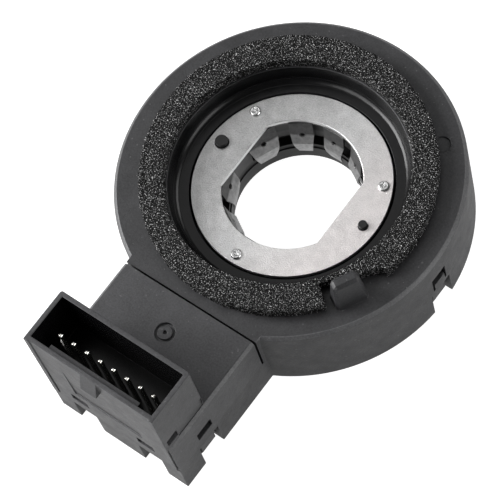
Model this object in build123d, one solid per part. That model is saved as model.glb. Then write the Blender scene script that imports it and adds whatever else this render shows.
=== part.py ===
from build123d import *
from math import acos, cos, hypot, pi, radians, sin, tan
import os

os.makedirs("parts", exist_ok=True)

# Steering angle sensor. The hub turns in a ring housing, and two small gears on its rim carry
# the magnets that the circuit board reads. The header for the vehicle's plug stands on a block
# beside the ring. Millimetres, with the hub's axis on Z and the housing standing on z = 0.

# Housing outline
ring_radius = 27.4
ring_height = 14.0
block_half_width = 12.4
block_height = 14.4
front_y = -46.0
seam_y = -25.1
parting_height = 6.5
wall = 1.3
floor_thickness = 1.5
roof_thickness = 1.5
edge_round = 0.5
seam_gap = 0.4
fit_gap = 0.1

# Recess around the drive plate
recess_radius = 18.95
recess_foot_radius = 18.45
recess_depth = 3.0
recess_fillet = 0.9
recess_fillet_steps = 2
recess_floor_thickness = 1.3
skirt_thickness = 1.2

# Hub
bore_radius = 10.8
bore_seat_height = 2.7
sleeve_height = 3.75
groove_height = 1.65
groove_depth = 0.65
relief_depth = 0.2
land_height = 3.25
land_half_angle = 13
journal_radius = 13.2
journal_height = 1.9
shoulder_radius = 15.0
rim_radius = 15.6
running_clearance = 0.06
thrust_gap = 0.05
plate_gap = 0.35
plate_stand = 0.2

# Gears
module = 0.5
pressure_angle = 20
backlash = 0.1
addendum = 0.45
dedendum = 0.6
hub_flank_steps = 1
gear_flank_steps = 2
hub_teeth = 72
coarse_teeth = 18
fine_teeth = 16
gear_side_angle = 15
tooth_face_bottom = 3.4
tooth_face_height = 2.6
gear_axle_radius = 1.2
gear_boss_radius = 2.2
axle_cover = 0.4
magnet_radius = 2.4
magnet_height = 1.1
magnet_cup_wall = 0.6
magnet_cup_floor = 0.3

# Drive plate, grip spring and their fastenings
plate_thickness = 0.8
plate_radius = 15.75
opening_radius = 11.1
opening_across_flats = 18.6
spring_thickness = 0.3
grip_radius = 9.75
grip_height = 1.0
grip_sink = 0.15
finger_bend_radius = 10.35
finger_bend_height = 7.75
grip_top_height = 6.1
finger_tip_height = 2.9
finger_tip_flare = 0.35
finger_root_radius = 10.8
finger_hole_radius = 0.45
round_finger_half_width = 1.9
round_finger_tip_half_width = 1.1
flat_finger_half_width = 2.6
flat_finger_tip_half_width = 1.4
round_finger_step = 30
flat_finger_angle = 25
finger_wall_gap = 0.06
peg_circle_radius = 13.6
large_peg_radius = 1.0
small_peg_radius = 0.68
peg_stand = 0.7
screw_circle_radius = 14.3
screw_head_radius = 0.9
screw_head_height = 0.36
screw_shank_radius = 0.45
screw_length = 3.0
cross_width = 0.24
cross_depth = 0.22

# Header
header_back_y = -37.1
header_half_width = 12.05
header_top = 26.0
header_base = 14.5
header_floor = 15.5
shroud_wall = 0.75
shroud_front_wall = 0.7
front_wall = 1.0
plug_rib_half_width = 8.35
plug_rib_thickness = 0.85
plug_rib_drop = 1.0
corner_rib_width = 1.0
corner_rib_stand = 0.2
ramp_half_width = 1.5
ramp_height = 3.5
ramp_stand = 1.05
pocket_half_width = 6.45
pocket_bottom = 11.8
pocket_top = 21.5
pocket_depth = 0.25
side_slot_y = -44.35
side_slot_length = 2.3
side_slot_bottom = 15.3
side_slot_height = 1.7
side_panel_depth = 0.2
side_panel_top = 17.0
side_panel_margin = 0.3
side_panel_front_y = -43.2

# Terminal pins
pin_count = 8
pin_pitch = 2.5
pin_width = 0.64
pin_row_y = -42.3
pin_tip_height = 23.8
pin_tail = 0.9
pin_chamfer = 0.18

# Snap latches
latch_width = 3.2
latch_notch_width = 4.5
latch_notch_height = 5.6
latch_window_bottom = 8.0
latch_window_height = 1.9
tongue_thickness = 0.9
tongue_bottom = 0.4
barb_setback = 0.7
barb_height = 4.8
front_latch_x = 6.35
side_latch_y = -39.2
ring_latch_angles = (0, 90, 180)
ring_slit_width = 0.35

# Marks left by the mould's ejector pins
block_mark_y = -31.3
block_mark_radius = 1.6
block_mark_disc_radius = 1.15
block_mark_dot_radius = 0.3
block_mark_depth = 0.4
ring_mark_angle = 44.8
ring_mark_circle_radius = 23.7
ring_mark_radius = 1.35
ring_mark_depth = 0.25

# Locating post on the ring
post_angle = -30
post_inner_radius = 21.2
post_base_depth = 3.3
post_base_width = 5.4
post_top_depth = 1.9
post_top_width = 4.2
post_top_offset = 0.3
post_height = 5.2
post_round = 0.45

# Foam ring, pulled slightly oval as it was laid, with one edge cut away beside the post
foam_long_radius = 23.75
foam_short_radius = 23.15
foam_long_angle = 135
foam_inner_radius = 19.05
foam_thickness = 2.1
foam_notch_distance = 20.1
foam_notch_angle = -42
foam_notch_start = -39.5
foam_notch_end = -14.5

# Circuit board and its parts
board_thickness = 1.0
board_half_width = 9.9
board_front_gap = 0.4
board_cup_gap = 0.2
board_back_y = -18.5
board_post_radius = 1.5
board_peg_radius = 0.7
board_post_x = 7.6
board_post_y = -34.5
chip_side = 3.4
chip_height = 0.6
chip_magnet_gap = 0.3
controller_side = 7.0
controller_height = 1.2
controller_x = 2.2
controller_y = -30.5
regulator_length = 4.4
regulator_width = 3.4
regulator_height = 1.4
regulator_x = -5.6
regulator_y = -30.0
capacitor_length = 2.0
capacitor_width = 1.2
capacitor_height = 0.9
capacitor_y = -37.2
capacitor_step = 3.4
capacitor_count = 5
crystal_length = 3.2
crystal_width = 1.6
crystal_height = 0.8
crystal_y = -25.2

hub_top = ring_height - recess_depth + plate_stand - plate_thickness - spring_thickness
spring_top = hub_top + spring_thickness
plate_top = spring_top + plate_thickness
tooth_face_top = tooth_face_bottom + tooth_face_height
finger_tab_radius = finger_root_radius + 2 * spring_thickness
widest_finger = max(round_finger_half_width, flat_finger_half_width)
upper_wall_radius = hypot(finger_tab_radius, widest_finger) + finger_wall_gap
groove_radius = upper_wall_radius + groove_depth
relief_radius = bore_radius + relief_depth
cover_hole_radius = plate_radius + plate_gap
inner_radius = ring_radius - wall
inner_half_width = block_half_width - wall
inner_front_y = front_y + wall
recess_cup_radius = recess_foot_radius + recess_floor_thickness
magnet_bottom = tooth_face_top + magnet_cup_floor
magnet_top = magnet_bottom + magnet_height
board_bottom = magnet_top + chip_magnet_gap + chip_height
board_top = board_bottom + board_thickness


def disc(radius, bottom, top, x=0.0, y=0.0):
    return Pos(x, y, bottom) * Cylinder(radius, top - bottom, align=(Align.CENTER, Align.CENTER, Align.MIN))


def tube(inner, outer, bottom, top):
    return disc(outer, bottom, top) - disc(inner, bottom, top)


def brick(x_low, x_high, y_low, y_high, z_low, z_high):
    size = (x_high - x_low, y_high - y_low, z_high - z_low)
    return Pos(x_low, y_low, z_low) * Box(*size, align=(Align.MIN, Align.MIN, Align.MIN))


def turned(points):
    """Body of revolution from (radius, height) points."""
    return revolve(Plane.XZ * make_face(Polyline(*points, close=True)), Axis.Z)


def around(shape, angle):
    return Rot(0, 0, angle) * shape


def half_tooth_angle(radius, teeth):
    """Half the angle that an involute tooth fills at this radius."""
    pitch_radius = module * teeth / 2
    base_radius = pitch_radius * cos(radians(pressure_angle))
    flank_angle = acos(min(1.0, base_radius / radius))
    involute_at_pitch = tan(radians(pressure_angle)) - radians(pressure_angle)
    involute_here = tan(flank_angle) - flank_angle
    half_at_pitch = pi / (2 * teeth) - backlash / (4 * pitch_radius)
    return half_at_pitch + involute_at_pitch - involute_here


def toothed_disc(teeth, bottom, height, first_tooth_angle, flank_steps):
    root_radius = module * teeth / 2 - dedendum
    step = (addendum + dedendum) / flank_steps
    flank_radii = [root_radius + step * number for number in range(flank_steps + 1)]
    points = []
    for tooth in range(teeth):
        centre = radians(first_tooth_angle) + 2 * pi * tooth / teeth
        for side, radii in ((-1, flank_radii), (1, reversed(flank_radii))):
            for radius in radii:
                angle = centre + side * half_tooth_angle(radius, teeth)
                points.append((radius * cos(angle), radius * sin(angle)))
    return Pos(0, 0, bottom) * extrude(make_face(Polyline(*points, close=True)), height)


def outline(radius, half_width, front):
    """Plan of the ring with its block, out to this radius, half-width and front line."""
    return Circle(radius) + Pos(0, front / 2) * Rectangle(2 * half_width, -front)


def level(sketch, bottom, top):
    return Pos(0, 0, bottom) * extrude(sketch, top - bottom)


def plan_sector(start, end, reach):
    """Triangle in plan from the hub's axis, between two angles."""
    corners = [(reach * cos(radians(angle)), reach * sin(radians(angle))) for angle in (start, end)]
    return make_face(Polyline((0, 0), *corners, close=True))


# Snap latches. Each is drawn on the wall that faces +X, with that wall's outer face at x = 0,
# and then carried to its place.
def latch_place(kind, where):
    """Place that brings the drawn latch to a ring angle, a side of the block or the front."""
    if kind == "ring":
        return Rot(0, 0, where) * Pos(ring_radius, 0, 0)
    if kind == "side":
        turn = 0 if where > 0 else 180
        return Pos(where * block_half_width, side_latch_y, 0) * Rot(0, 0, turn)
    return Pos(where * front_latch_x, front_y, 0) * Rot(0, 0, -90)


def latch_tongue(root_height):
    """Tongue inside the lower wall, with the barb that stands in the notch."""
    half = latch_width / 2
    tongue_face = -wall - fit_gap
    blade = brick(tongue_face - tongue_thickness, tongue_face, -half, half, tongue_bottom, root_height)
    root = brick(tongue_face - tongue_thickness, -wall / 2, -half, half, parting_height, root_height)
    barb_top = tongue_bottom + barb_height
    barb = Plane.XZ * make_face(Polyline(
        (tongue_face, tongue_bottom), (-barb_setback, tongue_bottom + barb_height / 3),
        (-barb_setback, barb_top), (tongue_face, barb_top), close=True))
    return blade + root + extrude(barb, half, both=True)


def latch_notch():
    half = latch_notch_width / 2
    return brick(-2 * wall, wall, -half, half, -floor_thickness, latch_notch_height)


def latch_window():
    half = latch_width / 2
    top = latch_window_bottom + latch_window_height
    window_depth = wall + fit_gap / 2
    return brick(-window_depth, wall, -half, half, latch_window_bottom, top)


ring_latches = [latch_place("ring", angle) for angle in ring_latch_angles]
side_latches = [latch_place("side", side) for side in (-1, 1)]
front_latches = [latch_place("front", side) for side in (-1, 1)]

# Measuring gears stand on the block's side of the hub, a pitch circle away from its teeth.
gear_seats = {}
for gear_name, teeth, side in (("coarse_gear", coarse_teeth, 1), ("fine_gear", fine_teeth, -1)):
    direction = -90 + side * gear_side_angle
    distance = module * (hub_teeth + teeth) / 2
    seat_x = distance * cos(radians(direction))
    seat_y = distance * sin(radians(direction))
    gear_seats[gear_name] = (teeth, direction, seat_x, seat_y)

axle_top = tooth_face_top - axle_cover


def lower_case():
    case = level(outline(ring_radius, block_half_width, front_y), 0, parting_height)
    case -= level(outline(inner_radius, inner_half_width, inner_front_y), floor_thickness, parting_height)
    case += disc(shoulder_radius - running_clearance, 0, journal_height - thrust_gap)
    case -= disc(journal_radius + running_clearance, 0, parting_height)
    for _, _, x, y in gear_seats.values():
        case += disc(gear_boss_radius, 0, tooth_face_bottom - thrust_gap, x, y)
        case += disc(gear_axle_radius, 0, axle_top, x, y)
    for side in (-1, 1):
        case += disc(board_post_radius, 0, board_bottom, side * board_post_x, board_post_y)
        case += disc(board_peg_radius, 0, board_top + fit_gap, side * board_post_x, board_post_y)
    for place in ring_latches + side_latches + front_latches:
        case -= place * latch_notch()
    return case


def ring_cover():
    plan = outline(ring_radius, block_half_width, seam_y)
    plan &= Pos(0, (ring_radius + seam_y) / 2) * Rectangle(2 * ring_radius, ring_radius - seam_y)
    cover = level(plan, parting_height, ring_height)
    top_rim = cover.edges().filter_by(GeomType.CIRCLE).group_by(Axis.Z)[-1]
    cover = chamfer(top_rim, edge_round)
    cover -= level(outline(inner_radius, inner_half_width, front_y), parting_height,
                   ring_height - roof_thickness)
    floor_height = ring_height - recess_depth
    cover += disc(recess_cup_radius, floor_height - recess_floor_thickness, ring_height - roof_thickness / 2)
    cover += disc(cover_hole_radius + skirt_thickness, tooth_face_top + fit_gap * 4, floor_height)
    cover -= turned([
        (0, floor_height), *recess_corner(floor_height), (recess_radius, ring_height), (0, ring_height)])
    cover -= disc(cover_hole_radius, 0, floor_height)
    mark = around(Pos(ring_mark_circle_radius, 0, 0), ring_mark_angle)
    cover -= mark * disc(ring_mark_radius, ring_height - ring_mark_depth, ring_height)
    for place in ring_latches:
        cover += place * latch_tongue(ring_height - roof_thickness)
        cover -= place * latch_window()
        for side in (-1, 1):
            slit_y = side * (latch_width - ring_slit_width) / 2
            slit = brick(-wall - fit_gap / 2, wall, slit_y - ring_slit_width / 2, slit_y + ring_slit_width / 2,
                         parting_height, latch_window_bottom)
            cover -= place * slit
    return cover + locating_post()


def recess_corner(floor_height):
    """Points of the rounded corner between the recess's floor and its wall."""
    centre = (recess_foot_radius - recess_fillet, floor_height + recess_fillet)
    turns = [radians(90 * step / recess_fillet_steps) for step in range(recess_fillet_steps + 1)]
    return [(centre[0] + recess_fillet * sin(turn), centre[1] - recess_fillet * cos(turn)) for turn in turns]


def locating_post():
    base_centre = post_inner_radius + post_base_depth / 2
    top_centre = post_inner_radius + post_top_offset + post_top_depth / 2
    base = Pos(base_centre, 0, ring_height - edge_round) * Rectangle(post_base_depth, post_base_width)
    top = Pos(top_centre, 0, ring_height + post_height) * Rectangle(post_top_depth, post_top_width)
    post = loft([base, top])
    post = chamfer(post.edges().group_by(Axis.Z)[-1] + post.edges().group_by(Axis.Z)[1], post_round)
    return around(post, post_angle)


def block_cover():
    back_y = seam_y - seam_gap
    end_y = front_y + fit_gap / 2
    cover = brick(-block_half_width, block_half_width, end_y, back_y, parting_height, block_height)
    sides = cover.edges().filter_by(Axis.Y).group_by(Axis.Z)[-1]
    cover = chamfer(sides, edge_round)
    cover -= brick(-inner_half_width, inner_half_width, front_y, seam_y, parting_height,
                   block_height - roof_thickness)
    cover -= brick(-inner_half_width, inner_half_width, front_y, header_back_y - shroud_wall / 2,
                   parting_height, block_height)
    cover -= Pos(0, block_mark_y, 0) * (
        tube(block_mark_disc_radius, block_mark_radius, block_height - block_mark_depth, block_height)
        + disc(block_mark_dot_radius, block_height - block_mark_depth, block_height))
    for place in side_latches:
        cover += place * latch_tongue(block_height - roof_thickness)
        cover -= place * latch_window()
    return cover


def header():
    shell = brick(-header_half_width, header_half_width, front_y, header_back_y, header_base, header_top)
    shell = chamfer(shell.edges().filter_by(Axis.Z).group_by(Axis.Y)[-1], edge_round / 2)
    inner_x = header_half_width - shroud_wall
    shell -= brick(-inner_x, inner_x, front_y + shroud_front_wall, header_back_y - shroud_wall,
                   header_floor, header_top)
    fitted = inner_half_width - fit_gap
    shell += brick(-fitted, fitted, front_y, front_y + front_wall, parting_height, header_floor)
    shell += brick(-fitted, fitted, front_y, header_back_y - shroud_wall / 2 - fit_gap,
                   block_height - roof_thickness, header_base)
    shell += brick(-plug_rib_half_width, plug_rib_half_width, front_y,
                   front_y + shroud_front_wall + plug_rib_thickness, header_floor, header_top - plug_rib_drop)
    for side in (-1, 1):
        edge = side * header_half_width
        inner_edge = side * (header_half_width - corner_rib_width)
        shell += brick(min(edge, inner_edge), max(edge, inner_edge), front_y - corner_rib_stand, front_y,
                       parting_height + fit_gap, header_top)
    pocket = Plane.YZ * make_face(Polyline(
        (front_y, pocket_bottom), (front_y + pocket_depth, pocket_bottom), (front_y, pocket_top), close=True))
    shell -= extrude(pocket, pocket_half_width, both=True)
    ramp = Plane.YZ * make_face(Polyline(
        (front_y, header_top), (front_y - ramp_stand, header_top - ramp_height),
        (front_y, header_top - ramp_height), close=True))
    shell += extrude(ramp, ramp_half_width, both=True)
    for side in (-1, 1):
        face = side * header_half_width
        slot_in = side * (header_half_width - shroud_wall)
        shell -= brick(min(face, slot_in), max(face, slot_in),
                       side_slot_y - side_slot_length / 2, side_slot_y + side_slot_length / 2,
                       side_slot_bottom, side_slot_bottom + side_slot_height)
        panel_in = side * (header_half_width - side_panel_depth)
        shell -= brick(min(face, panel_in), max(face, panel_in), side_panel_front_y,
                       header_back_y - side_panel_margin, header_base, side_panel_top)
    for place in front_latches:
        shell += place * latch_tongue(latch_window_bottom + latch_window_height + wall)
        shell -= place * latch_window()
    for x in pin_places():
        shell -= brick(x - pin_width / 2, x + pin_width / 2, pin_row_y - pin_width / 2,
                       pin_row_y + pin_width / 2, 0, header_top)
    return shell


def pin_places():
    return [(number - (pin_count - 1) / 2) * pin_pitch for number in range(pin_count)]


def terminal_pins():
    pins = []
    for x in pin_places():
        pin = brick(x - pin_width / 2, x + pin_width / 2, pin_row_y - pin_width / 2, pin_row_y + pin_width / 2,
                    board_bottom - pin_tail, pin_tip_height)
        pins.append(chamfer(pin.edges().group_by(Axis.Z)[-1], pin_chamfer))
    return Compound(children=pins)


def foam_ring():
    oval = Rot(0, 0, foam_long_angle) * Ellipse(foam_long_radius, foam_short_radius)
    sector = plan_sector(foam_notch_start, foam_notch_end, 2 * foam_long_radius)
    beyond = Rot(0, 0, foam_notch_angle) * Pos(foam_notch_distance + ring_radius, 0) * Rectangle(
        2 * ring_radius, 2 * ring_radius)
    plan = oval - Circle(foam_inner_radius) - (sector & beyond)
    return level(plan, ring_height, ring_height + foam_thickness)


def hub():
    groove_top = sleeve_height + groove_height
    body = turned([
        (bore_radius, 0), (journal_radius, 0), (journal_radius, journal_height),
        (shoulder_radius, journal_height), (shoulder_radius, tooth_face_bottom),
        (rim_radius, tooth_face_bottom), (rim_radius, hub_top), (upper_wall_radius, hub_top),
        (upper_wall_radius, groove_top), (groove_radius, groove_top), (groove_radius, sleeve_height),
        (relief_radius, sleeve_height), (relief_radius, bore_seat_height), (bore_radius, bore_seat_height)])
    teeth = toothed_disc(hub_teeth, tooth_face_bottom, tooth_face_height, 0, hub_flank_steps)
    body += teeth - disc(shoulder_radius, tooth_face_bottom, tooth_face_top)
    land_top = sleeve_height + land_height
    land_ring = tube(relief_radius, groove_radius + fit_gap, sleeve_height, land_top)
    for angle in (0, 180):
        plan = plan_sector(angle - land_half_angle, angle + land_half_angle, 2 * groove_radius)
        body += land_ring & level(plan, sleeve_height, land_top)
    for angle, radius in ((180, large_peg_radius), (0, small_peg_radius)):
        body += around(disc(radius, tooth_face_top, plate_top + peg_stand, peg_circle_radius), angle)
    for angle in screw_angles():
        pilot = disc(screw_shank_radius, plate_top - screw_length, hub_top, screw_circle_radius)
        body -= around(pilot, angle)
    return body


def screw_angles():
    return (30, 150, 270)


def fastening_holes(bottom, top):
    holes = [around(disc(screw_shank_radius + fit_gap, bottom, top, screw_circle_radius), angle)
             for angle in screw_angles()]
    for angle, radius in ((180, large_peg_radius), (0, small_peg_radius)):
        holes.append(around(disc(radius + fit_gap, bottom, top, peg_circle_radius), angle))
    return holes


def drive_plate():
    flats = Rectangle(opening_across_flats, 2 * opening_radius)
    plate = level(Circle(plate_radius) - (Circle(opening_radius) & flats), spring_top, plate_top)
    for hole in fastening_holes(spring_top, plate_top):
        plate -= hole
    return plate


def finger(half_width, tip_half_width):
    """One bent finger on the +X side: a side view across its width, cut to its front view."""
    flat_radius = grip_radius - grip_sink
    inner_edge = [
        (finger_root_radius, spring_top), (finger_bend_radius, finger_bend_height),
        (flat_radius, grip_top_height), (flat_radius, grip_top_height - grip_height),
        (grip_radius + finger_tip_flare, finger_tip_height)]
    outer_edge = [(radius + spring_thickness, height) for radius, height in reversed(inner_edge[1:])]
    side_view = Plane.XZ * make_face(Polyline(
        *inner_edge, *outer_edge, (finger_tab_radius - spring_thickness, hub_top),
        (finger_tab_radius, hub_top), (finger_tab_radius, spring_top), close=True))
    front_view = Plane.YZ * make_face(Polyline(
        (-half_width, spring_top), (half_width, spring_top), (half_width, finger_bend_height),
        (tip_half_width, finger_tip_height), (-tip_half_width, finger_tip_height),
        (-half_width, finger_bend_height), close=True))
    bent = extrude(side_view, half_width, both=True) & extrude(front_view, finger_tab_radius)
    hole = Pos(finger_bend_radius, 0, finger_bend_height) * Rot(0, 90, 0) * Cylinder(
        finger_hole_radius, 4 * spring_thickness)
    return bent - hole - disc(grip_radius, 0, grip_top_height)


def grip_spring():
    spring = tube(finger_root_radius + spring_thickness, rim_radius, hub_top, spring_top)
    for hole in fastening_holes(hub_top, spring_top):
        spring -= hole
    round_finger = finger(round_finger_half_width, round_finger_tip_half_width)
    flat_finger = finger(flat_finger_half_width, flat_finger_tip_half_width)
    for middle in (90, 270):
        for angle in (middle - round_finger_step, middle, middle + round_finger_step):
            spring += around(round_finger, angle)
    for middle in (0, 180):
        for side in (-1, 1):
            spring += around(flat_finger, middle + side * flat_finger_angle)
    return spring


def plate_screws():
    screws = []
    for angle in screw_angles():
        head = disc(screw_head_radius, plate_top, plate_top + screw_head_height)
        head = chamfer(head.edges().group_by(Axis.Z)[-1], screw_head_height / 2)
        screw = head + disc(screw_shank_radius, plate_top - screw_length, plate_top)
        for turn in (0, 90):
            bar = brick(-screw_head_radius * 0.6, screw_head_radius * 0.6, -cross_width / 2, cross_width / 2,
                        plate_top + screw_head_height - cross_depth, plate_top + screw_head_height)
            screw -= around(bar, turn)
        screws.append(around(Pos(screw_circle_radius, 0, 0) * screw, angle))
    return Compound(children=screws)


def measuring_gear(gear_name):
    teeth, direction, x, y = gear_seats[gear_name]
    facing_hub = direction + 180
    gear = toothed_disc(teeth, tooth_face_bottom, tooth_face_height, facing_hub + 180 / teeth, gear_flank_steps)
    gear += disc(magnet_radius + fit_gap / 2 + magnet_cup_wall, tooth_face_top, magnet_top)
    gear -= disc(magnet_radius + fit_gap / 2, magnet_bottom, magnet_top)
    gear -= disc(gear_axle_radius + running_clearance, tooth_face_bottom, axle_top + thrust_gap)
    return Pos(x, y, 0) * gear


def magnet(gear_name):
    _, _, x, y = gear_seats[gear_name]
    return disc(magnet_radius, magnet_bottom, magnet_top, x, y)


def circuit_board():
    front = inner_front_y + tongue_thickness + board_front_gap
    board = brick(-board_half_width, board_half_width, front, board_back_y, board_bottom, board_top)
    board -= disc(recess_cup_radius + board_cup_gap, board_bottom, board_top)
    for x in pin_places():
        board -= brick(x - pin_width / 2, x + pin_width / 2, pin_row_y - pin_width / 2,
                       pin_row_y + pin_width / 2, board_bottom, board_top)
    for side in (-1, 1):
        board -= disc(board_peg_radius + fit_gap, board_bottom, board_top, side * board_post_x, board_post_y)
    return board


def board_part(length, width, height, x, y, underside=False):
    bottom = board_bottom - height if underside else board_top
    return brick(x - length / 2, x + length / 2, y - width / 2, y + width / 2, bottom, bottom + height)


def angle_chip(gear_name):
    _, _, x, y = gear_seats[gear_name]
    return board_part(chip_side, chip_side, chip_height, x, y, underside=True)


def capacitors():
    first = -(capacitor_count - 1) / 2
    return Compound(children=[
        board_part(capacitor_width, capacitor_length, capacitor_height,
                   (first + number) * capacitor_step, capacitor_y)
        for number in range(capacitor_count)])


nodes = {
    "lower_case": lower_case(),
    "ring_cover": ring_cover(),
    "block_cover": block_cover(),
    "header_shell": header(),
    "terminal_pins": terminal_pins(),
    "foam_ring": foam_ring(),
    "circuit_board": circuit_board(),
    "coarse_angle_chip": angle_chip("coarse_gear"),
    "fine_angle_chip": angle_chip("fine_gear"),
    "controller_chip": board_part(
        controller_side, controller_side, controller_height, controller_x, controller_y),
    "voltage_regulator": board_part(
        regulator_length, regulator_width, regulator_height, regulator_x, regulator_y),
    "crystal": board_part(crystal_length, crystal_width, crystal_height, 0, crystal_y),
    "capacitors": capacitors(),
    "hub": hub(),
    "drive_plate": drive_plate(),
    "grip_spring": grip_spring(),
    "plate_screws": plate_screws(),
    "coarse_gear": measuring_gear("coarse_gear"),
    "coarse_magnet": magnet("coarse_gear"),
    "fine_gear": measuring_gear("fine_gear"),
    "fine_magnet": magnet("fine_gear"),
}
for node_name, shape in nodes.items():
    export_step(shape, f"parts/{node_name}.step")
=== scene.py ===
# %% [markdown]
# A steering angle sensor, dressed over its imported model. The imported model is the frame: every
# piece below is placed in the frame's own metres, so nothing has to be fitted by eye. Lengths
# that are easier to read in millimetres are multiplied by mm.

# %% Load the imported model
import math
import bpy
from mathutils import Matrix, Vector, noise


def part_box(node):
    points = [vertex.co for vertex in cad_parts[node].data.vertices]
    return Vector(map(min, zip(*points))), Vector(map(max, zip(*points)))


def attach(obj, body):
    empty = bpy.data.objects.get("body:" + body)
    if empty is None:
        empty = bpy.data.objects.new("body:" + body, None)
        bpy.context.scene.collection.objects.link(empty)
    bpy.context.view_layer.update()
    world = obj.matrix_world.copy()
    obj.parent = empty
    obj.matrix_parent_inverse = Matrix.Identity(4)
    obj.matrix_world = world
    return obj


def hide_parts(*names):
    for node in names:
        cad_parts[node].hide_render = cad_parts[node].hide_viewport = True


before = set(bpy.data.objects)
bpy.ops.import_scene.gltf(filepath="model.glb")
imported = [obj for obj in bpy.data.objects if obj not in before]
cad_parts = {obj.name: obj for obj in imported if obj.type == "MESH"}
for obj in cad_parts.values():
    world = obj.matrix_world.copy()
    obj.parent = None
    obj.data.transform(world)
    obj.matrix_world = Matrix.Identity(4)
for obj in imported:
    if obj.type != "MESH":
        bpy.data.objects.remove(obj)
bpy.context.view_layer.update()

bpy.ops.object.select_all(action="DESELECT")
mm = 0.001

# %% [markdown]
# The camera stands where the photographer stood. It could be moved by hand until the outlines
# agree. Here its place and lens were worked out from the header's pins, the ring's edge and the
# plate's circles instead, so every part of the picture agrees at once and no shift is needed.

# %% Camera
camera_data = bpy.data.cameras.new("photo_camera")
camera_data.sensor_width = 36
camera_data.lens = 170.22
camera_data.clip_start = 0.01
camera = bpy.data.objects.new("photo_camera", camera_data)
camera.location = (0.137266, -0.106929, 0.329884)
camera.rotation_euler = [math.radians(turn) for turn in (25.93765, 9.28335, 36.87924)]
bpy.context.scene.collection.objects.link(camera)
bpy.context.scene.camera = camera
print("camera stands", round(camera.location.length, 3), "m from the origin")

# %% [markdown]
# Every finish is a small node tree. Written node by node they would fill pages, so one function
# adds a node with its settings and links. A socket takes either a plain value or another node's
# output, and a colour ramp takes its stops as positions and colours. Another function turns the
# hex colours that painters and web pages use into the linear light that the shader adds up.
# Some sockets share a name and are given by number. On a Mix node 0 is the factor, 2 and 3 are
# its numbers, and 6 and 7 are its colours. On a Map Range node 1 and 2 are the range that comes
# in, and 3 and 4 are the range that goes out.

# %% Helpers for finishes
def colour(hex_code):
    """Linear colour of a hex code such as #808080."""
    parts = [int(hex_code[place:place + 2], 16) / 255 for place in (1, 3, 5)]
    linear = [
        part / 12.92 if part <= 0.04045 else ((part + 0.055) / 1.055) ** 2.4 for part in parts]
    return (*linear, 1)


def add(tree, kind, links=(), stops=(), **settings):
    """Add a node, set its properties and ramp stops, then fill its sockets."""
    node = tree.nodes.new(kind)
    for name, value in settings.items():
        setattr(node, name, value)
    for number, (position, hex_code) in enumerate(stops):
        elements = node.color_ramp.elements
        stop = elements[number] if number < 2 else elements.new(position)
        stop.position = position
        stop.color = colour(hex_code)
    for socket, value in dict(links).items():
        if isinstance(value, bpy.types.NodeSocket):
            tree.links.new(value, node.inputs[socket])
        else:
            node.inputs[socket].default_value = value
    return node


def new_finish(name):
    """An empty material: its tree, its shader and its coordinates in millimetres."""
    material = bpy.data.materials.new(name)
    material.use_nodes = True
    tree = material.node_tree
    place = add(tree, "ShaderNodeTexCoord")
    grid = add(tree, "ShaderNodeMapping", {
        "Vector": place.outputs["Object"], "Scale": (1 / mm, 1 / mm, 1 / mm)})
    return material, tree, tree.nodes["Principled BSDF"], grid.outputs["Vector"]


print("mid grey #808080 is", round(colour("#808080")[0], 3), "in linear light")

# %% [markdown]
# The floor is plain white paper. Bare paper would look grey at the edges, so camera and mirror
# rays see it glow almost white, as in the photograph, while it still takes a soft shadow. It
# lies a tenth of a millimetre under the part, so that the two faces don't share a plane.

# %% Floor and air
bpy.ops.mesh.primitive_plane_add(size=6, location=(0, 0, -0.1 * mm))
floor = bpy.context.object
floor.name = "studio_floor"
floor_material = bpy.data.materials.new("white_paper")
floor_material.use_nodes = True
tree = floor_material.node_tree
tree.nodes.clear()
paper = add(tree, "ShaderNodeBsdfDiffuse", {"Color": colour("#a0a0a0")})
glow = add(tree, "ShaderNodeEmission", {"Color": colour("#ffffff"), "Strength": 1.0})
rays = add(tree, "ShaderNodeLightPath")
mirrored = add(
    tree, "ShaderNodeMath", {0: rays.outputs["Is Glossy Ray"], 1: 0.6}, operation="MULTIPLY")
seen = add(
    tree, "ShaderNodeMath", {0: rays.outputs["Is Camera Ray"], 1: mirrored.outputs[0]},
    operation="MAXIMUM")
lit = add(tree, "ShaderNodeAddShader", {0: paper.outputs[0], 1: glow.outputs[0]})
mixed = add(tree, "ShaderNodeMixShader", {
    "Fac": seen.outputs[0], 1: paper.outputs[0], 2: lit.outputs[0]})
add(tree, "ShaderNodeOutputMaterial", {"Surface": mixed.outputs[0]})
floor.data.materials.append(floor_material)

world = bpy.data.worlds.new("studio_air")
bpy.context.scene.world = world
world.use_nodes = True
air = world.node_tree.nodes["Background"]
air.inputs["Color"].default_value = colour("#ffffff")
air.inputs["Strength"].default_value = 0.1
print("floor and air:", floor.name, world.name)

# %% [markdown]
# The lamps are large softboxes, which is how small parts are photographed for a shop. Sun lamps
# would give hard shadows. The strongest stands on the left and draws the bright line along the
# rounded foot of the recess. Each one faces the middle of the part.

# %% Lamps
middle_of_part = Vector((0, -0.01, 0.01))
for name, place, size, watts in (
        ("overhead_softbox", (-0.22, 0.18, 0.62), 0.5, 0.72),
        ("left_softbox", (-0.55, -0.26, 0.35), 0.4, 8),
        ("front_softbox", (-0.28, -0.5, 0.42), 0.4, 2.5),
        ("right_softbox", (0.6, 0.15, 0.2), 0.4, 2.1),
        ("back_softbox", (0.2, 0.6, 0.35), 0.3, 1.2)):
    lamp_data = bpy.data.lights.new(name, "AREA")
    lamp_data.size = size
    lamp_data.energy = watts
    lamp = bpy.data.objects.new(name, lamp_data)
    lamp.location = place
    lamp.rotation_euler = (middle_of_part - lamp.location).to_track_quat("-Z", "Y").to_euler()
    bpy.context.scene.collection.objects.link(lamp)
    print(name, watts, "W")

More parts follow.
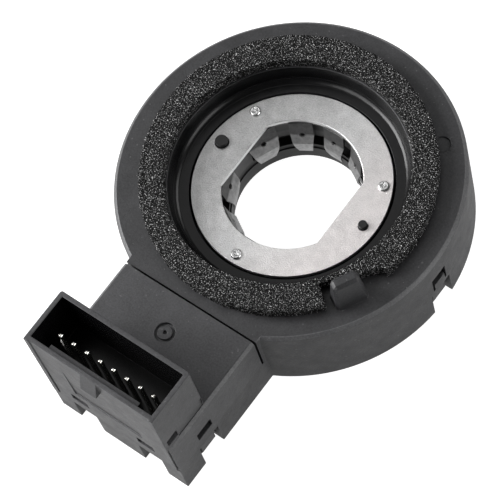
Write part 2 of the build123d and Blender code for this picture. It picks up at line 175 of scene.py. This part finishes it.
# %% [markdown]
# The case is ABS, moulded in a spark-eroded tool. The tool leaves a fine, even grain that makes
# the black look grey. A part that has been in a box of others also has faint rubbed patches and
# a few specks of dust. A photograph of plastic could be wrapped round the case, but noise in
# millimetres has no seam, and it keeps its size on every piece. The real grain is finer than a
# tenth of a millimetre. It is drawn about a quarter of a millimetre wide, so that it shows.
# The ring and the block are separate mouldings, and the block's is a little paler. The edges
# that stand out most get a paler copy of this finish, a painted highlight for the light their
# bevels catch, which draws a thin grey line round the part.

# %% Textured black ABS
def textured_abs(name, dark, light, grains_per_mm=3.6, rubs_per_mm=0.35, dust_per_mm=2.2):
    material, tree, shader, grid = new_finish(name)
    grain = add(tree, "ShaderNodeTexNoise", {
        "Vector": grid, "Scale": grains_per_mm, "Detail": 2.0, "Roughness": 0.6})
    patches = add(tree, "ShaderNodeTexNoise", {"Vector": grid, "Scale": 0.12, "Detail": 2.0})
    rubbed = add(tree, "ShaderNodeTexNoise", {
        "Vector": grid, "Scale": rubs_per_mm, "Detail": 6.0, "Roughness": 0.75})
    dust = add(tree, "ShaderNodeTexNoise", {"Vector": grid, "Scale": dust_per_mm, "Detail": 0.0})
    wear = add(tree, "ShaderNodeMix", {
        0: 0.5, 2: patches.outputs["Fac"], 3: rubbed.outputs["Fac"]})
    both = add(tree, "ShaderNodeMix", {0: 0.45, 2: wear.outputs[0], 3: grain.outputs["Fac"]})
    tone = add(
        tree, "ShaderNodeValToRGB", {"Fac": both.outputs[0]}, ((0.36, dark), (0.64, light)))
    specks = add(
        tree, "ShaderNodeValToRGB", {"Fac": dust.outputs["Fac"]},
        ((0.8, "#000000"), (0.84, "#3c3c3c")))
    dusty = add(
        tree, "ShaderNodeMix", {0: 1.0, 6: tone.outputs[0], 7: specks.outputs[0]},
        data_type="RGBA", blend_type="ADD")
    rough = add(tree, "ShaderNodeMapRange", {
        "Value": rubbed.outputs["Fac"], 1: 0.35, 2: 0.65, 3: 0.44, 4: 0.58})
    bump = add(tree, "ShaderNodeBump", {
        "Height": grain.outputs["Fac"], "Strength": 0.6, "Distance": 0.05 * mm})
    tree.links.new(dusty.outputs[2], shader.inputs["Base Color"])
    tree.links.new(rough.outputs[0], shader.inputs["Roughness"])
    tree.links.new(bump.outputs[0], shader.inputs["Normal"])
    shader.inputs["IOR"].default_value = 1.52
    print(name, "from", dark, "to", light)
    return material


ring_abs = textured_abs("textured_black_abs_ring", "#161618", "#2f2f31")
block_abs = textured_abs("textured_black_abs_block", "#202022", "#3a3a3c")
# The paler copy for the chamfers is a painted highlight, standing in for light on the rounded
# edges.
edge_highlight_abs = textured_abs("black_abs_painted_edge_highlight", "#3c3c3e", "#585859")

# %% [markdown]
# Where a core slid out of the tool the plastic was polished, so the round recess and the inside
# of the header are smoother. Their colour is a deeper black than the grained case, a painted
# shade for these hollows. A plain colour would look painted, so drag marks less than a millimetre
# apart, that can hardly be seen, run through it and break up the highlight.

# %% Polished black ABS
polished_abs_painted_shade, tree, shader, grid = new_finish("polished_black_abs_painted_shade")
drag_marks_per_mm = 1.4
drag = add(tree, "ShaderNodeTexNoise", {"Vector": grid, "Scale": drag_marks_per_mm, "Detail": 3.0})
# Painted shade: the deeper black darkens the recess and the header's inside.
deep_black_painted_shade = add(
    tree, "ShaderNodeValToRGB", {"Fac": drag.outputs["Fac"]},
    ((0.3, "#060607"), (0.7, "#0d0d0e")))
bump = add(tree, "ShaderNodeBump", {
    "Height": drag.outputs["Fac"], "Strength": 0.05, "Distance": 0.04 * mm})
tree.links.new(deep_black_painted_shade.outputs[0], shader.inputs["Base Color"])
tree.links.new(bump.outputs[0], shader.inputs["Normal"])
shader.inputs["Roughness"].default_value = 0.26
shader.inputs["IOR"].default_value = 1.45
shader.inputs["Specular IOR Level"].default_value = 0.3
print(polished_abs_painted_shade.name, "with", drag_marks_per_mm, "drag marks per millimetre")

# %% [markdown]
# The hub is acetal filled with black pigment, which slides well and looks a little waxy. One ramp
# over the height makes it dark at the foot, paler in a band below the fingers' bend, and darkest
# above the bend, where the plate shades the bore: that darkest part is painted shade. Two
# materials would need a cut in the mesh, so one ramp does it.

# %% Black acetal
acetal, tree, shader, grid = new_finish("moulded_black_acetal")
hub_height_mm = 12
flow = add(tree, "ShaderNodeTexNoise", {"Vector": grid, "Scale": 0.6, "Detail": 3.0})
height = add(tree, "ShaderNodeSeparateXYZ", {"Vector": grid})
level = add(tree, "ShaderNodeMapRange", {"Value": height.outputs["Z"], 1: 0, 2: hub_height_mm})
# Painted shade: the hub is darkest above the bend, under the plate.
hub_painted_shade = add(
    tree, "ShaderNodeValToRGB", {"Fac": level.outputs[0]},
    ((0.3, "#1a1a1b"), (0.34, "#555556"), (0.56, "#555556"), (0.62, "#0e0e0f")))
cloud = add(
    tree, "ShaderNodeValToRGB", {"Fac": flow.outputs["Fac"]},
    ((0.3, "#d0d0d0"), (0.7, "#ffffff")))
tone = add(
    tree, "ShaderNodeMix", {0: 1.0, 6: hub_painted_shade.outputs[0], 7: cloud.outputs[0]},
    data_type="RGBA", blend_type="MULTIPLY")
bump = add(tree, "ShaderNodeBump", {
    "Height": flow.outputs["Fac"], "Strength": 0.15, "Distance": 0.1 * mm})
tree.links.new(tone.outputs[2], shader.inputs["Base Color"])
tree.links.new(bump.outputs[0], shader.inputs["Normal"])
shader.inputs["Roughness"].default_value = 0.4
shader.inputs["IOR"].default_value = 1.45
print(acetal.name, "over", hub_height_mm, "mm of height")

# %% [markdown]
# The plate is stamped from zinc-plated sheet. Barrel plating leaves a soft mottle under a sandy
# grain. Towards one side the colour is painted brighter, more even and a little warm, a painted
# reflection of the lamps. The sheared edges are painted brighter still, a painted highlight:
# they are told apart by the way they face, so the rolled edge between them and the face needs no
# cut.
# The mottle and the grain give the eye a dull metal, and the bump gives its sandy sparkle. The
# patches of the mottle are about a millimetre and a half wide. The grain is drawn a fifth of a
# millimetre wide, which is coarser than it is, so that it shows.

# %% Zinc-plated sheet
zinc, tree, shader, grid = new_finish("barrel_plated_zinc_sheet")
mottles_per_mm = 0.6
grains_per_mm = 5.0
mottle = add(tree, "ShaderNodeTexNoise", {
    "Vector": grid, "Scale": mottles_per_mm, "Detail": 6.0, "Roughness": 0.7})
sand = add(tree, "ShaderNodeTexNoise", {
    "Vector": grid, "Scale": grains_per_mm, "Detail": 2.0, "Roughness": 0.7})
both = add(tree, "ShaderNodeMix", {0: 0.55, 2: mottle.outputs["Fac"], 3: sand.outputs["Fac"]})
face_tone = add(
    tree, "ShaderNodeValToRGB", {"Fac": both.outputs[0]}, ((0.37, "#c3c3c3"), (0.63, "#f8f8f8")))
# Painted reflection: brighter, more even and warmer towards one side.
along = add(
    tree, "ShaderNodeVectorMath", {0: grid, 1: (1, -0.15, 0)}, operation="DOT_PRODUCT")
side = add(tree, "ShaderNodeMapRange", {"Value": along.outputs["Value"], 1: -9, 2: 12})
painted_reflection_ramp = add(
    tree, "ShaderNodeValToRGB", {"Fac": side.outputs[0]},
    ((0.0, "#cccccc"), (0.45, "#ededed"), (1.0, "#fffaf9")))
painted_evenness = add(tree, "ShaderNodeMath", {0: side.outputs[0], 1: 0.55}, operation="MULTIPLY")
painted_even_tone = add(
    tree, "ShaderNodeMix",
    {0: painted_evenness.outputs[0], 6: face_tone.outputs[0], 7: colour("#e4e4e4")}, data_type="RGBA")
painted_reflection_tone = add(
    tree, "ShaderNodeMix", {0: 1.0, 6: painted_even_tone.outputs[2], 7: painted_reflection_ramp.outputs[0]},
    data_type="RGBA", blend_type="MULTIPLY")
# Painted highlight: faces that don't point up are painted brighter.
facing = add(tree, "ShaderNodeNewGeometry")
upright = add(tree, "ShaderNodeSeparateXYZ", {"Vector": facing.outputs["Normal"]})
flatness = add(tree, "ShaderNodeMapRange", {
    "Value": upright.outputs["Z"], "From Min": 0.3, "From Max": 0.8})
face_and_painted_edge_highlight = add(
    tree, "ShaderNodeMix", {0: flatness.outputs[0], 6: colour("#f2f2f2"), 7: painted_reflection_tone.outputs[2]},
    data_type="RGBA")
rough = add(tree, "ShaderNodeMapRange", {
    "Value": mottle.outputs["Fac"], 1: 0.3, 2: 0.7, 3: 0.34, 4: 0.46})
bump = add(tree, "ShaderNodeBump", {
    "Height": sand.outputs["Fac"], "Strength": 0.9, "Distance": 0.06 * mm})
tree.links.new(face_and_painted_edge_highlight.outputs[2], shader.inputs["Base Color"])
tree.links.new(rough.outputs[0], shader.inputs["Roughness"])
tree.links.new(bump.outputs[0], shader.inputs["Normal"])
shader.inputs["Metallic"].default_value = 1.0
print(zinc.name, "with", grains_per_mm, "grains per millimetre")

# %% [markdown]
# Four more metals have a very fine drawn or plated grain over their own colour. They could be
# one metal each, but they differ only in colour, gloss and grain, so one function makes them.
# The screws are a bright cool grey, the pins a mirror-like warm white, the crystal's can a
# satin grey and the magnets a dark warm grey. The real grains are a few hundredths of a
# millimetre wide, and are drawn ten times as coarse or more, so that they show.

# %% Screws, pins, can and magnets
def plain_metal(name, dark, light, roughness, grain_mm):
    material, tree, shader, grid = new_finish(name)
    grain = add(tree, "ShaderNodeTexNoise", {
        "Vector": grid, "Scale": 1 / grain_mm, "Detail": 4.0, "Roughness": 0.6})
    tone = add(
        tree, "ShaderNodeValToRGB", {"Fac": grain.outputs["Fac"]}, ((0.3, dark), (0.7, light)))
    bump = add(tree, "ShaderNodeBump", {
        "Height": grain.outputs["Fac"], "Strength": 0.12, "Distance": 0.04 * mm})
    tree.links.new(tone.outputs[0], shader.inputs["Base Color"])
    tree.links.new(bump.outputs[0], shader.inputs["Normal"])
    shader.inputs["Metallic"].default_value = 1.0
    shader.inputs["Roughness"].default_value = roughness
    print(name, "with a grain of", grain_mm, "mm")
    return material


screw_steel = plain_metal("zinc_plated_screw_steel", "#bdbdbd", "#d6d6d6", 0.24, 1.2)
tin = plain_metal("bright_tinned_brass", "#cfcdc6", "#efeee9", 0.2, 0.4)
can_steel = plain_metal("drawn_steel_can", "#a8a8a8", "#c4c4c4", 0.28, 0.6)
magnet_nickel = plain_metal("nickel_plated_magnet", "#8b8a86", "#b0aea8", 0.3, 0.7)

# %% [markdown]
# The spring fingers' upper halves lie in the shade of the plate and their lower halves catch the
# light. A height ramp paints that change at the bend of the fingers: dark above it, a painted
# shade.

# %% Spring steel
spring_steel, tree, shader, grid = new_finish("hardened_spring_steel")
lit_below_mm = 7.55
shaded_above_mm = 7.9
rolled = add(tree, "ShaderNodeTexNoise", {
    "Vector": grid, "Scale": 1.3, "Detail": 4.0, "Roughness": 0.6})
bright = add(
    tree, "ShaderNodeValToRGB", {"Fac": rolled.outputs["Fac"]},
    ((0.3, "#9c9c9d"), (0.7, "#c4c4c4")))
height = add(tree, "ShaderNodeSeparateXYZ", {"Vector": grid})
# Painted shade above the bend, where the plate shades the fingers.
finger_painted_shade = add(tree, "ShaderNodeMapRange", {
    "Value": height.outputs["Z"], 1: lit_below_mm, 2: shaded_above_mm, 3: 1, 4: 0.2})
tone = add(
    tree, "ShaderNodeMix", {0: 1.0, 6: bright.outputs[0], 7: finger_painted_shade.outputs[0]},
    data_type="RGBA", blend_type="MULTIPLY")
tree.links.new(tone.outputs[2], shader.inputs["Base Color"])
shader.inputs["Metallic"].default_value = 1.0
shader.inputs["Roughness"].default_value = 0.42
print(spring_steel.name, "dark above", shaded_above_mm, "mm")

# %% [markdown]
# The circuit board is glass fibre under a green lacquer. Its weave could be modelled thread by
# thread, but it lies under the lacquer and hardly shows, so a wave pattern tints the green. Its
# bands are about 0.7 mm apart, which is the spacing of the glass threads.

# %% Circuit board
laminate, tree, shader, grid = new_finish("green_solder_mask_laminate")
weave = add(
    tree, "ShaderNodeTexWave", {"Vector": grid, "Scale": 0.6, "Distortion": 0.6},
    bands_direction="DIAGONAL")
lacquer = add(
    tree, "ShaderNodeValToRGB", {"Fac": weave.outputs["Fac"]},
    ((0.2, "#0d4023"), (0.8, "#15572f")))
tree.links.new(lacquer.outputs[0], shader.inputs["Base Color"])
shader.inputs["Roughness"].default_value = 0.3
print(laminate.name, "with a diagonal weave")

# %% [markdown]
# The small pieces inside are plain, so one function makes their finishes too. The chips are a
# matt black resin, the capacitors an unglazed tan ceramic, and the two gears uncoloured acetal,
# which is a milky white. Each has a grain fine enough to keep it from looking like flat paint.

# %% Chips, capacitors and gears
def plain_moulding(name, dark, light, roughness, grain_mm):
    material, tree, shader, grid = new_finish(name)
    grain = add(tree, "ShaderNodeTexNoise", {
        "Vector": grid, "Scale": 1 / grain_mm, "Detail": 3.0})
    tone = add(
        tree, "ShaderNodeValToRGB", {"Fac": grain.outputs["Fac"]}, ((0.3, dark), (0.7, light)))
    bump = add(tree, "ShaderNodeBump", {
        "Height": grain.outputs["Fac"], "Strength": 0.2, "Distance": 0.03 * mm})
    tree.links.new(tone.outputs[0], shader.inputs["Base Color"])
    tree.links.new(bump.outputs[0], shader.inputs["Normal"])
    shader.inputs["Roughness"].default_value = roughness
    print(name, "with a grain of", grain_mm, "mm")
    return material


chip_resin = plain_moulding("black_epoxy_resin", "#1b1b1d", "#252527", 0.55, 0.2)
ceramic = plain_moulding("tan_capacitor_ceramic", "#8f7450", "#a98c62", 0.5, 0.3)
white_acetal = plain_moulding("natural_white_acetal", "#dedcd2", "#ebe9e1", 0.4, 0.8)

# %% [markdown]
# The foam is open-cell polyurethane, dyed black. Its cells are under half a millimetre wide: the
# hollows swallow the light and the cut ends of the cell walls glint as pale specks. A real mesh
# of cell walls would be far too heavy, so a Voronoi pattern paints the shade in the hollows of
# the cells, and noise paints the glints as pale specks: painted shade and painted highlights.
# The specks are drawn a little coarser than they are, because finer ones would melt into grey.

# %% Open-cell foam
foam_material, tree, shader, grid = new_finish("open_cell_polyurethane_foam")
cells_per_mm = 3.0
glints_per_mm = 6.2
# Painted shade: the hollow depth and the cell pattern darken the hollows.
painted_hollow_shade = add(tree, "ShaderNodeAttribute", attribute_name="hollow_shade")
cells = add(
    tree, "ShaderNodeTexVoronoi", {"Vector": grid, "Scale": cells_per_mm, "Randomness": 1.0},
    feature="F1")
specks = add(tree, "ShaderNodeTexNoise", {
    "Vector": grid, "Scale": glints_per_mm, "Detail": 1.0, "Roughness": 0.5})
painted_cell_shade = add(
    tree, "ShaderNodeValToRGB", {"Fac": cells.outputs["Distance"]},
    ((0.15, "#020202"), (0.75, "#29292a")))
shade = add(
    tree, "ShaderNodeValToRGB", {"Fac": painted_hollow_shade.outputs["Fac"]},
    ((0.2, "#ffffff"), (0.8, "#181818")))
shaded = add(
    tree, "ShaderNodeMix", {0: 1.0, 6: painted_cell_shade.outputs[0], 7: shade.outputs[0]},
    data_type="RGBA", blend_type="MULTIPLY")
# Painted highlights: pale glints on the cut cell walls.
glints = add(
    tree, "ShaderNodeValToRGB", {"Fac": specks.outputs["Fac"]},
    ((0.6, "#000000"), (0.75, "#d2d2d2")))
lit = add(
    tree, "ShaderNodeMix", {0: 1.0, 6: shaded.outputs[2], 7: glints.outputs[0]},
    data_type="RGBA", blend_type="ADD")
bump = add(tree, "ShaderNodeBump", {
    "Height": cells.outputs["Distance"], "Strength": 0.9, "Distance": 0.2 * mm})
tree.links.new(lit.outputs[2], shader.inputs["Base Color"])
tree.links.new(bump.outputs[0], shader.inputs["Normal"])
shader.inputs["Roughness"].default_value = 0.8
shader.inputs["Specular IOR Level"].default_value = 0.2
print(foam_material.name, "with", glints_per_mm, "specks per millimetre")

# %% [markdown]
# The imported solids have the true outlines, but their edges are knife sharp, and nothing moulded
# is. Modelling each moulding again would only copy the outline, so each one is copied from its
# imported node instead. The copy's loose triangles are merged and its flat faces made whole. Some
# pieces are then cut again into few triangles, because a bevel can fold a large face that has
# many corners.

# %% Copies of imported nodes
def pick(piece):
    """Make one piece the only selected one, and the active one."""
    bpy.ops.object.select_all(action="DESELECT")
    piece.select_set(True)
    bpy.context.view_layer.objects.active = piece


def copy_of(node, name, triangles=False):
    """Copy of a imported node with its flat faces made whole, or cut again into few triangles."""
    piece = bpy.data.objects.new(name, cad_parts[node].data.copy())
    bpy.context.scene.collection.objects.link(piece)
    pick(piece)
    bpy.ops.mesh.customdata_custom_splitnormals_clear()
    bpy.ops.object.mode_set(mode="EDIT")
    bpy.ops.mesh.select_all(action="SELECT")
    bpy.ops.mesh.remove_doubles(threshold=0.001 * mm)
    bpy.ops.mesh.dissolve_limited(angle_limit=math.radians(1.5))
    if triangles:
        bpy.ops.mesh.quads_convert_to_tris(quad_method="BEAUTY", ngon_method="BEAUTY")
    bpy.ops.object.mode_set(mode="OBJECT")
    return piece


print("packed nodes:", len(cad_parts))

# %% [markdown]
# A mould leaves a small radius on every edge, and that radius catches a line of light. A bevel
# modifier would round all edges alike. The bevel tool in edit mode can leave some sharp, such as
# those at a joint that can hardly be seen. Faces are deselected as well as edges, because a
# selected face brings all its edges back. Gentle turns are then shaded smooth, and weighted
# normals let each large flat face keep its own direction right up to its bevel.

# %% Bevels and shading
def bevel_sharp(piece, radius_mm, segments=2, wanted=lambda x, y, z: True):
    """Bevel the sharp edges whose middle, in millimetres, is at a wanted place."""
    pick(piece)
    bpy.ops.object.mode_set(mode="EDIT")
    bpy.ops.mesh.select_mode(type="EDGE")
    bpy.ops.mesh.select_all(action="DESELECT")
    bpy.ops.mesh.edges_select_sharp(sharpness=math.radians(30))
    bpy.ops.object.mode_set(mode="OBJECT")
    piece.data.polygons.foreach_set("select", [False] * len(piece.data.polygons))
    points = piece.data.vertices
    for edge in piece.data.edges:
        middle = (points[edge.vertices[0]].co + points[edge.vertices[1]].co) / 2
        if not wanted(*(middle / mm)):
            edge.select = False
    bpy.ops.object.mode_set(mode="EDIT")
    bpy.ops.mesh.bevel(
        offset=radius_mm * mm, segments=segments, affect="EDGES", clamp_overlap=False,
        miter_outer="ARC")
    bpy.ops.object.mode_set(mode="OBJECT")


def smooth_shading(piece):
    """Shade gentle turns smooth, and let the large flat faces keep their own direction."""
    pick(piece)
    bpy.ops.object.shade_smooth_by_angle(angle=math.radians(50))
    bpy.ops.object.modifier_add(type="WEIGHTED_NORMAL")
    weighting = piece.modifiers[-1]
    weighting.keep_sharp = True
    weighting.weight = 100
    bpy.ops.object.modifier_apply(modifier=weighting.name)
    print(piece.name, len(piece.data.polygons), "faces")

# %% [markdown]
# A finished piece gets its finish, rides on one of the frame's bodies, so that it moves with
# that body, and stands for the node it was copied from. Some faces take a second finish, such as
# the polished ones. They are picked by where they lie, which still holds when the mesh changes.

# %% Finish and body
def dress(piece, node, body, finish):
    """Give a finished piece its finish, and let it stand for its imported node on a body."""
    piece.data.materials.clear()
    piece.data.materials.append(finish)
    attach(piece, body)
    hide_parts(node)


def refinish(piece, finish, inside):
    """Give another finish to the faces whose middle, in millimetres, is inside."""
    piece.data.materials.append(finish)
    changed = [face for face in piece.data.polygons if inside(*(face.center / mm))]
    for face in changed:
        face.material_index = len(piece.data.materials) - 1
    print(piece.name, len(changed), "faces of", finish.name)

# %% [markdown]
# The four case mouldings are black ABS with edges of about a tenth of a millimetre. The lower
# case and the ring cover meet flush at the parting line, so their edges there stay sharp: on
# the real part the joint can hardly be seen. The edges at the seam beside the block stay sharp
# too, which keeps the dark line thin. The fold at the foot of the recess gets a wide bevel, since
# the real foot is round.

# %% Case mouldings
case_edge_mm = 0.09
parting_height = 6.5
seam_y = -25.3
foot_fold_radius = 18.19
foot_fold_top = 11.5
foot_round_mm = 0.55


def at_foot_fold(x, y, z):
    """Whether a place is on the fold between the recess's floor and its wall."""
    return abs(math.hypot(x, y) - foot_fold_radius) < 0.05 and z < foot_fold_top


def away_from_joints(x, y, z):
    """Whether a place is neither at the parting line nor at the seam."""
    return not (abs(z - parting_height) < 0.01 or abs(y - seam_y) < 0.25)


for node, name, finish in (
        ("lower_case", "lower_case_moulding", ring_abs),
        ("ring_cover", "ring_cover_moulding", ring_abs),
        ("block_cover", "block_cover_moulding", block_abs),
        ("header_shell", "header_moulding", block_abs)):
    moulding = copy_of(node, name, triangles=node != "block_cover")
    if node == "ring_cover":
        bevel_sharp(moulding, foot_round_mm, 6, at_foot_fold)
    bevel_sharp(moulding, case_edge_mm, wanted=away_from_joints)
    smooth_shading(moulding)
    dress(moulding, node, "housing", finish)

# %% [markdown]
# The recess and the inside of the header are polished and painted a deeper black, a painted
# shade, and the chamfers round the ring and along the block get a paler finish, a painted
# highlight. The header's key rib ends below the rim, and its top is textured like the rim, so the
# polish and its painted shade stop just under it.

# %% Polished and rubbed faces
recess_radius = 18.9
recess_bottom = 9.5
ring_chamfer_radius = 26.82
ring_chamfer_bottom = 13.52
block_chamfer_x = 11.92
block_chamfer_bottom = 13.92
header_inner_x = 11.31
header_inner_front = -45.29
header_inner_back = -37.84
header_floor = 15.4
key_rib_top = 24.9


def in_recess(x, y, z):
    return math.hypot(x, y) < recess_radius and z > recess_bottom


def on_ring_chamfer(x, y, z):
    return math.hypot(x, y) > ring_chamfer_radius and z > ring_chamfer_bottom


def on_block_chamfer(x, y, z):
    return abs(x) > block_chamfer_x and z > block_chamfer_bottom


def in_header(x, y, z):
    return (abs(x) < header_inner_x and header_inner_front < y < header_inner_back
            and header_floor < z < key_rib_top)


for name, finish, inside in (
        ("ring_cover_moulding", polished_abs_painted_shade, in_recess),
        ("ring_cover_moulding", edge_highlight_abs, on_ring_chamfer),
        ("block_cover_moulding", edge_highlight_abs, on_block_chamfer),
        ("header_moulding", polished_abs_painted_shade, in_header)):
    refinish(bpy.data.objects[name], finish, inside)

# %% [markdown]
# The hub, the stamped plate and the pins have finer edges: a press leaves a small rolled edge on
# sheet, and the pins are coined to a blunt point. The same helpers make them, each with the
# radius of its own edges, in millimetres.

# %% Hub, plate, screws and pins
for node, name, edge_mm, body, finish in (
        ("hub", "hub_moulding", 0.06, "rotor", acetal),
        ("drive_plate", "stamped_drive_plate", 0.1, "rotor", zinc),
        ("plate_screws", "pan_head_screws", 0.03, "rotor", screw_steel),
        ("terminal_pins", "coined_pins", 0.06, "housing", tin)):
    piece = copy_of(node, name)
    bevel_sharp(piece, edge_mm)
    smooth_shading(piece)
    dress(piece, node, body, finish)

# %% [markdown]
# The foam ring is die-cut from open-cell sheet. Its cut faces are a crust of torn cell walls, so
# a smooth ring with a bump would still show a clean outline. A copy of the imported ring is filled
# with small even faces by a voxel remesh, and every point is then pushed in by the depth of the
# cells around it. The same depth is kept as an attribute, so that the material can paint shade
# into the hollows where the mesh really is hollow.

# %% Foam ring
foam_cell_mm = 0.42
foam_voxel_mm = 0.19
foam_swell_mm = 0.12
foam_pit_mm = 0.26
cell_openness = 1.35
wall_sharpness = 1.9
patchiness = 0.25
patches_per_cell = 0.3
foam_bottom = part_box("foam_ring")[0][2]
foam = copy_of("foam_ring", "die_cut_foam_ring")
bpy.ops.object.modifier_add(type="REMESH")
remesh = foam.modifiers[-1]
remesh.mode = "VOXEL"
remesh.voxel_size = foam_voxel_mm * mm
bpy.ops.object.modifier_apply(modifier=remesh.name)
normals = [vertex.normal.copy() for vertex in foam.data.vertices]
# The depth is kept for the painted shade in the hollows.
hollow_shade = foam.data.attributes.new("hollow_shade", "FLOAT", "POINT")
for vertex, normal in zip(foam.data.vertices, normals):
    vertex.co += normal * foam_swell_mm * mm
    place = vertex.co / (foam_cell_mm * mm)
    nearest = noise.voronoi(place)[0]
    patch = noise.noise(place * patches_per_cell)
    depth = cell_openness - wall_sharpness * (nearest[1] - nearest[0]) - patchiness * patch
    depth = max(0.0, min(1.0, depth))
    hollow_shade.data[vertex.index].value = depth
    vertex.co -= normal * foam_pit_mm * mm * depth
    vertex.co.z = max(vertex.co.z, foam_bottom)
bpy.ops.object.shade_smooth()
foam.data.materials.clear()
foam.data.materials.append(foam_material)
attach(foam, "housing")
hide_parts("foam_ring")
print("foam faces:", len(foam.data.polygons))

# %% [markdown]
# The pieces inside and the spring have the right shape as they were packed. They stay, and take
# their finish here. Only their material slot changes, and their mesh is left alone.

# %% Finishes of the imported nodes
node_finish = {
    "circuit_board": laminate, "coarse_angle_chip": chip_resin, "fine_angle_chip": chip_resin,
    "controller_chip": chip_resin, "voltage_regulator": chip_resin, "crystal": can_steel,
    "capacitors": ceramic, "grip_spring": spring_steel, "coarse_gear": white_acetal,
    "fine_gear": white_acetal, "coarse_magnet": magnet_nickel, "fine_magnet": magnet_nickel}
for node, finish in node_finish.items():
    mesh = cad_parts[node].data
    mesh.materials.clear()
    mesh.materials.append(finish)
    print(node, len(mesh.polygons))

# %% [markdown]
# The plain view transform shows the colours as they were mixed.

# %% View transform
bpy.context.scene.view_settings.view_transform = "Standard"
